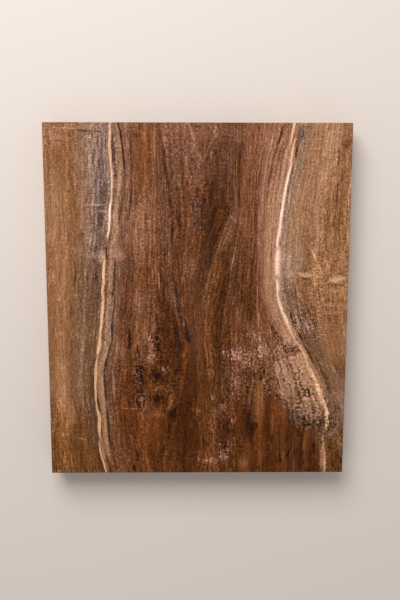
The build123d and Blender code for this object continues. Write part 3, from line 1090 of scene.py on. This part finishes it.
def markMask(tree, place, centre, reach, lean, strength, fray, inside):
    # a mark's own axes are each divided by how far it reaches along them
    look = {"Place": place, "Inside": inside, "Fray": fray, "Strength": strength}
    if lean == 0:
        scale = [1 / part for part in reach]
        shift = [-middle * part for middle, part in zip(centre, scale)]
        return placeGroup(tree, straightMark, Scale=scale, Shift=shift, **look).outputs[0]
    turn = math.radians(lean)
    halfWidth, halfLength, deep = reach
    axes = {
        "Across": (math.cos(turn) / halfWidth, math.sin(turn) / halfWidth, 0.0),
        "Along": (-math.sin(turn) / halfLength, math.cos(turn) / halfLength, 0.0),
        "Below": (0.0, 0.0, 1 / deep),
    }
    return placeGroup(tree, leaningMark, Centre=centre, **axes, **look).outputs[0]


def markDepth(halfWidth, deep):
    return deep or markLook["shallowest"] + markLook["deepening"] * halfWidth


def leaningField(tree, place, marks, fray, inside, deep=None):
    # the strongest of several marks at each place on the face
    field = 0.0
    for across, along, halfWidth, halfLength, lean, strength in marks:
        reach = (halfWidth, halfLength, markDepth(halfWidth, deep))
        mask = markMask(tree, place, (across, along, 0.0), reach, lean, strength, fray, inside)
        field = maths(tree, "MAXIMUM", mask, field)
    return field


def grainField(tree, place, marks, fray, inside, deep=None):
    # the same for marks that follow the grain, by ring number
    field = 0.0
    for across, along, halfWidth, halfLength, strength in marks:
        stretch = (ringAt(across + 1, along) - ringAt(across - 1, along)) / 2
        centre = (ringAt(across, along), along, 0.0)
        reach = (halfWidth * stretch, halfLength, markDepth(halfWidth, deep))
        mask = markMask(tree, place, centre, reach, 0, strength, fray, inside)
        field = maths(tree, "MAXIMUM", mask, field)
    return field


def figureGroup(name, fieldOf, markLists, inside, deep=None):
    # lays marks over a colour, tone after tone
    inputs = [("Colour", "Color"), ("Place", "Vector"), ("Fray", "Float")]
    tree, given, result = newGroup(name, inputs, [("Colour", "Color")])
    colour = given["Colour"]
    for tone, marks in markLists.items():
        field = fieldOf(tree, given["Place"], marks, given["Fray"], inside, deep)
        colour = blendColour(tree, field, colour, woodColour(tone))
    feed(tree, result["Colour"], colour)
    return tree


def sectionRamp(tree, share, section, low, high):
    node = addNode(tree, "ShaderNodeValToRGB")
    ramp = node.color_ramp
    ramp.elements.remove(ramp.elements[-1])
    for index, (spot, tone) in enumerate(section):
        place = (spot - low) / (high - low)
        element = ramp.elements[0] if index == 0 else ramp.elements.new(place)
        element.position = place
        element.color = woodColour(tone)
    feed(tree, node.inputs[0], share)
    return node.outputs[0]


def sectionGroup(name, sections, low, high, strays):
    # the plain colour of the wood at a place, between one station's section and the next
    tree, given, result = newGroup(name, [("Place", "Vector"), ("Stray", "Float")], [("Colour", "Color")])
    spot, along = splitVector(tree, given["Place"])[:2]
    share = heldShare(tree, timesPlus(tree, given["Stray"], strays[0], spot), low, high)
    strayed = timesPlus(tree, given["Stray"], strays[1], along)
    station, section = sections[0]
    colour = sectionRamp(tree, share, section, low, high)
    for following, section in sections[1:]:
        blend = mapRange(tree, strayed, float(station), float(following), smooth=True)
        colour = blendColour(tree, blend, colour, sectionRamp(tree, share, section, low, high))
        station = following
    feed(tree, result["Colour"], colour)
    return tree


# The sawn ends: open pores as dots, rings standing through the thickness, fine rays; and the
# saw's faint lines on the ends and edges. Each is given as a texture is above
endLook = {
    "pores": ((1.0, 0.02, 1.0), 1.15),
    "poreRange": (0.34, 0.16),
    "poreDepth": 0.9,
    "rings": ((1.0, 0.0, 0.06), 1.5, 1.0),
    "ringWeight": 2.2,
    "rays": ((1.0, 0.0, 0.12), 0.6, 1.0),
    "rayWeight": 0.8,
    "dusk": -0.30,
    "kerfs": ((1.0, 1.0, 0.04), 1.2, 2.0),
    "kerfWeight": 0.5,
    "sideRange": (0.7, 0.95),         # how far the surface has turned where an end or edge begins
    "arrisRange": (0.975, 0.90),
    # how much darker the colour is made on the arrises: painted shade where the rounded edge turns away
    # from the light
    "arrisPaintedShade": -0.28,
}


def endGrainGroup():
    # grain and board places in; out, how much the end grain and the saw's lines shade the wood
    tree, given, result = newGroup("endGrain", [("Grain", "Vector"), ("Place", "Vector")],
                                   [("Shade", "Float"), ("Kerf", "Float")])
    stretch, size = endLook["pores"]
    cells = addNode(tree, "ShaderNodeTexVoronoi", feature="F1")
    feed(tree, cells.inputs["Vector"], stretched(tree, given["Grain"], stretch))
    cells.inputs["Scale"].default_value = 1 / size
    pores = mapRange(tree, cells.outputs["Distance"], *endLook["poreRange"], smooth=True)
    rings = stretchedNoise(tree, given["Grain"], *endLook["rings"])
    rays = stretchedNoise(tree, given["Place"], *endLook["rays"])
    shade = timesPlus(tree, pores, -endLook["poreDepth"], endLook["dusk"])
    shade = timesPlus(tree, centred(tree, rings), endLook["ringWeight"], shade)
    shade = timesPlus(tree, centred(tree, rays), endLook["rayWeight"], shade)
    feed(tree, result["Shade"], shade)
    kerfs = stretchedNoise(tree, given["Place"], *endLook["kerfs"])
    feed(tree, result["Kerf"], centred(tree, kerfs))
    return tree


def wanderOf(tree, place):
    parts = []
    for size, detail, reach in wanderings:
        drift = noise(tree, place, size, detail, colour=True)
        drift = vectorMaths(tree, "SUBTRACT", drift, (0.5, 0.5, 0.5))
        parts.append(stretched(tree, drift, reach))
    return vectorPlus(tree, *parts)


def restlessWaver(tree, face):
    across, along = splitVector(tree, face)[:2]
    footShare = mapRange(tree, along, *restless["along"], smooth=True)
    leftShare = mapRange(tree, across, *restless["left"], smooth=True)
    heartShare = times(tree, leftShare, mapRange(tree, across, *restless["right"], smooth=True))
    waves = stretchedNoise(tree, face, *restless["waves"])
    wave = times(tree, centred(tree, waves), restless["reach"])
    return packVector(tree, times(tree, wave, times(tree, footShare, heartShare)), 0.0, 0.0)


def brokenEdges(tree, textures, mottled):
    # how the edges of lines, stains, dark grains and pale grains are broken
    fray = times(tree, centred(tree, textures["fibre"]), edgeLook["fibre"])
    stray = timesPlus(tree, mottled, edgeLook["mottle"], fray)
    specks = minus(tree, textures["speck"], edgeLook["speckMiddle"])
    grit = timesPlus(tree, specks, edgeLook["speck"], times(tree, stray, edgeLook["stray"]))
    paleGrit = timesPlus(tree, grit, *edgeLook["pale"])
    return fray, stray, grit, paleGrit


def placeFields(tree, faceMarked, stray, swirl):
    fields = {}
    inside, deep = markLook["place"], markLook["through"]
    for name, marks in figurePlaces.items():
        fields[name] = leaningField(tree, faceMarked, marks, stray, inside, deep)
    # the swirl has no stripes, and its wood is calmer
    fields["striped"] = times(tree, fields["striped"], minus(tree, 1.0, swirl))
    swirlCalm = times(tree, swirl, swirlPatch["calm"])
    fields["calm"] = maths(tree, "MAXIMUM", swirlCalm, fields["calm"])
    return fields


def plainColour(tree, sectionPlace, faceMarked, stray, cloud, swirl):
    # the sections of plain wood, and in the swirl its ribbons
    lowRing = float(grainGuides[1]["ring"])
    highRing = float(grainGuides[-2]["ring"])
    sections = sectionGroup("walnutSections", crossSections, lowRing, highRing, edgeLook["sections"])
    wood = placeGroup(tree, sections, Place=sectionPlace, Stray=stray).outputs[0]
    waver = timesPlus(tree, centred(tree, cloud), edgeLook["ribbonCloud"], stray)
    ribbons = sectionGroup("swirlRibbons", swirlSections, *swirlPatch["span"], edgeLook["ribbons"])
    ribboned = placeGroup(tree, ribbons, Place=faceMarked, Stray=waver).outputs[0]
    return blendColour(tree, swirl, wood, ribboned)


def figuredColour(tree, colour, grainMarked, faceMarked, edges):
    # the marks over the plain wood, from lines to grains
    fray, stray, grit, paleGrit = edges
    through = markLook["through"]
    figures = (
        ("ringLines", grainField, ringMarks, "line", through, fray),
        ("grainFigure", grainField, grainMarks, "mark", None, fray),
        ("faceFigure", leaningField, faceMarks, "mark", None, stray),
        ("fleckedFigure", leaningField, fleckedMarks, "grains", None, paleGrit),
        ("speckledLines", grainField, speckledLines, "grains", through, paleGrit),
        ("speckledFigure", leaningField, speckledMarks, "grains", None, grit),
    )
    for name, fieldOf, marks, inside, deep, edge in figures:
        figure = figureGroup(name, fieldOf, marks, markLook[inside], deep)
        place = grainMarked if fieldOf is grainField else faceMarked
        colour = placeGroup(tree, figure, Colour=colour, Place=place, Fray=edge).outputs[0]
    return colour


def textureShade(tree, colour, textures, pores, fields):
    # the textures darken and lighten the wood, most where it is dark and least on the pale lines
    shade = times(tree, pores, -shadeLook["poreDepth"])
    for name, plain, extra, field in textureWeights:
        weight = timesPlus(tree, fields[field], extra, plain)
        shade = timesPlus(tree, centred(tree, textures[name]), weight, shade)
    paleness = addNode(tree, "ShaderNodeRGBToBW")
    feed(tree, paleness.inputs[0], colour)
    contrast = mapRange(tree, paleness.outputs[0], *shadeLook["contrast"], smooth=True)
    kept = timesPlus(tree, fields["calm"], -shadeLook["calm"], 1.0)
    return times(tree, shade, times(tree, contrast, kept))


def sawnShares(tree, normal):
    # how much of an end, of an end or edge, and of an arris there is at a place
    turnedX, turnedY, turnedZ = [maths(tree, "ABSOLUTE", part) for part in splitVector(tree, normal)]
    endShare = mapRange(tree, turnedY, *endLook["sideRange"], smooth=True)
    sideways = maths(tree, "MAXIMUM", turnedX, turnedY)
    sideShare = mapRange(tree, sideways, *endLook["sideRange"], smooth=True)
    flatness = maths(tree, "MAXIMUM", sideways, turnedZ)
    return endShare, sideShare, mapRange(tree, flatness, *endLook["arrisRange"], smooth=True)


def deepened(tree, colour, shade):
    tint = addNode(tree, "ShaderNodeGamma")
    tint.inputs["Color"].default_value = (*[math.exp(part) for part in shadeLook["deepening"]], 1.0)
    feed(tree, tint.inputs["Gamma"], shade)
    return blendColour(tree, 1.0, colour, tint.outputs[0], "MULTIPLY")


# The dressed surface: its roughness from fibre to fibre, how much rougher sawn wood is, its faint
# sheen, and a relief so fine that it is bump only
surfaceLook = {
    "roughness": (0.3, 0.7, 0.66, 0.54),
    "sawnRoughness": 0.12,
    "sheen": 0.1,
    "poreRelief": -0.8,
    "kerfRelief": 2.0,
    "relief": 0.25,
    "reliefDepth": 0.1 * mm,
}


def dressedSurface(tree, colour, textures, pores, kerf, sideShare):
    surface = addNode(tree, "ShaderNodeBsdfPrincipled")
    feed(tree, surface.inputs["Base Color"], colour)
    roughness = mapRange(tree, textures["fibre"], *surfaceLook["roughness"])
    roughness = timesPlus(tree, sideShare, surfaceLook["sawnRoughness"], roughness)
    feed(tree, surface.inputs["Roughness"], roughness)
    surface.inputs["Specular IOR Level"].default_value = surfaceLook["sheen"]
    relief = timesPlus(tree, pores, surfaceLook["poreRelief"], textures["speck"])
    bump = addNode(tree, "ShaderNodeBump")
    bump.inputs["Strength"].default_value = surfaceLook["relief"]
    bump.inputs["Distance"].default_value = surfaceLook["reliefDepth"]
    feed(tree, bump.inputs["Height"], timesPlus(tree, kerf, surfaceLook["kerfRelief"], relief))
    feed(tree, surface.inputs["Normal"], bump.outputs[0])
    output = addNode(tree, "ShaderNodeOutputMaterial")
    feed(tree, output.inputs["Surface"], surface.outputs[0])


def walnutMaterial():
    material = bpy.data.materials.new("walnutDressed")
    material.use_nodes = True
    tree = material.node_tree
    tree.nodes.clear()
    spot = addNode(tree, "ShaderNodeTexCoord")
    place = vectorMaths(tree, "SCALE", spot.outputs["Object"], 1 / mm)
    grainNode = placeGroup(tree, grainGroup(), Place=place, Wander=wanderOf(tree, place))
    grain = grainNode.outputs["Grain"]
    face = grainNode.outputs["Face"]

    # in the swirl the threads run straight down the board, elsewhere along the rings
    mottle = stretchedNoise(tree, face, *mottleLook)
    mottled = centred(tree, mottle)
    swirlStray = times(tree, mottled, swirlPatch["mottleFray"])
    swirl = placeGroup(tree, swirlGroup(), Face=face, Stray=swirlStray).outputs[0]
    turned = vectorMaths(tree, "SCALE", vectorMaths(tree, "SUBTRACT", face, grain), swirl)
    waving = restlessWaver(tree, face)
    threads = vectorPlus(tree, vectorPlus(tree, grain, turned), waving)
    textures = {"mottle": mottle}
    for name, stretch, size, detail in woodTextures:
        textures[name] = stretchedNoise(tree, threads, stretch, size, detail, textureRoughness)

    # loose fibres shift the edges of the marks; the marks wait for them, and so for all the frays
    edges = brokenEdges(tree, textures, mottled)
    fray, stray, grit, paleGrit = edges
    loose = vectorMaths(tree, "SCALE", packVector(tree, fray, paleGrit, 0.0), edgeLook["loose"])
    grainMarked = vectorPlus(tree, grain, loose)
    faceMarked = vectorPlus(tree, face, loose)
    fields = placeFields(tree, faceMarked, stray, swirl)
    sectionPlace = vectorPlus(tree, grainMarked, waving)
    colour = plainColour(tree, sectionPlace, faceMarked, stray, textures["cloud"], swirl)
    colour = figuredColour(tree, colour, grainMarked, faceMarked, edges)

    pores = mapRange(tree, textures["pore"], *shadeLook["poreRange"], smooth=True)
    shade = textureShade(tree, colour, textures, pores, fields)
    endShare, sideShare, arrisShare = sawnShares(tree, spot.outputs["Normal"])
    endNode = placeGroup(tree, endGrainGroup(), Grain=grain, Place=place)
    kerf = times(tree, endNode.outputs["Kerf"], sideShare)
    shade = timesPlus(tree, endNode.outputs["Shade"], endShare, shade)
    shade = timesPlus(tree, kerf, endLook["kerfWeight"], shade)
    # the arrises are darkened in colour: painted shade on the rounded edges
    shade = timesPlus(tree, arrisShare, endLook["arrisPaintedShade"], shade)
    dressedSurface(tree, deepened(tree, colour, shade), textures, pores, kerf, sideShare)
    return material


print("walnut finish")
walnut = walnutMaterial()

print("board body")
board = buildBoard(walnut)
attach(board, "root")
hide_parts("board")
print("board faces", len(board.data.polygons))


# Floor, light and camera

studio = {
    "floorTone": (0.76, 0.68, 0.62, 1.0),
    "floorSize": 12.0,
    "floorRoughness": 0.9,
    "floorSheen": 0.1,
    "skyLight": 0.42,
    "skyTone": (1.0, 0.985, 0.97, 1.0),
    "backTone": (0.80, 0.74, 0.70, 1.0),
    "lampPlace": (-0.35, 1.15, 1.25),
    "lampSize": 1.0,
    "lampPower": 26.0,
}


def buildFloor():
    half = studio["floorSize"] / 2
    mesh = bpy.data.meshes.new("paleFloor")
    corners = [(-half, -half, 0), (half, -half, 0), (half, half, 0), (-half, half, 0)]
    mesh.from_pydata(corners, [], [(0, 1, 2, 3)])
    floor = bpy.data.objects.new("paleFloor", mesh)
    bpy.context.scene.collection.objects.link(floor)
    material = bpy.data.materials.new("paleFloor")
    material.use_nodes = True
    surface = material.node_tree.nodes["Principled BSDF"]
    surface.inputs["Base Color"].default_value = studio["floorTone"]
    surface.inputs["Roughness"].default_value = studio["floorRoughness"]
    surface.inputs["Specular IOR Level"].default_value = studio["floorSheen"]
    mesh.materials.append(material)


def buildLight():
    lamp = bpy.data.lights.new("softLamp", "AREA")
    lamp.shape = "SQUARE"
    lamp.size = studio["lampSize"]
    lamp.energy = studio["lampPower"]
    lampObject = bpy.data.objects.new("softLamp", lamp)
    lampObject.location = studio["lampPlace"]
    aim = Vector((0, 0, boardThickness)) - lampObject.location
    lampObject.rotation_euler = aim.to_track_quat("-Z", "Y").to_euler()
    bpy.context.scene.collection.objects.link(lampObject)
    world = bpy.data.worlds.new("paleRoom")
    bpy.context.scene.world = world
    world.use_nodes = True
    tree = world.node_tree
    tree.nodes.clear()
    sky = addNode(tree, "ShaderNodeBackground")
    sky.inputs["Color"].default_value = studio["skyTone"]
    sky.inputs["Strength"].default_value = studio["skyLight"]
    back = addNode(tree, "ShaderNodeBackground")
    back.inputs["Color"].default_value = studio["backTone"]
    choice = addNode(tree, "ShaderNodeMixShader")
    feed(tree, choice.inputs[0], addNode(tree, "ShaderNodeLightPath").outputs["Is Camera Ray"])
    feed(tree, choice.inputs[1], sky.outputs[0])
    feed(tree, choice.inputs[2], back.outputs[0])
    feed(tree, addNode(tree, "ShaderNodeOutputWorld").inputs["Surface"], choice.outputs[0])


cameraView = {
    "place": (-0.009438, 0.159631, 0.939107),
    "aim": (0.002576, 0.004271, 0.038),
    "roll": math.radians(0.114),
    "lens": 50.0,
    "sensor": 36.0,
    "nearest": 0.01,
}


def buildCamera():
    camera = bpy.data.cameras.new("viewCamera")
    camera.lens = cameraView["lens"]
    camera.sensor_width = cameraView["sensor"]
    camera.clip_start = cameraView["nearest"]
    cameraObject = bpy.data.objects.new("viewCamera", camera)
    place = Vector(cameraView["place"])
    forward = (Vector(cameraView["aim"]) - place).normalized()
    right = forward.cross(Vector((0, 1, 0))).normalized()
    up = right.cross(forward)
    turn = Matrix((right, up, -forward)).transposed().to_4x4()
    roll = Matrix.Rotation(cameraView["roll"], 4, "Z")
    cameraObject.matrix_world = Matrix.Translation(place) @ turn @ roll
    bpy.context.scene.collection.objects.link(cameraObject)
    bpy.context.scene.camera = cameraObject


print("floor, light and camera")
buildFloor()
buildLight()
buildCamera()
bpy.context.scene.view_settings.view_transform = "Standard"
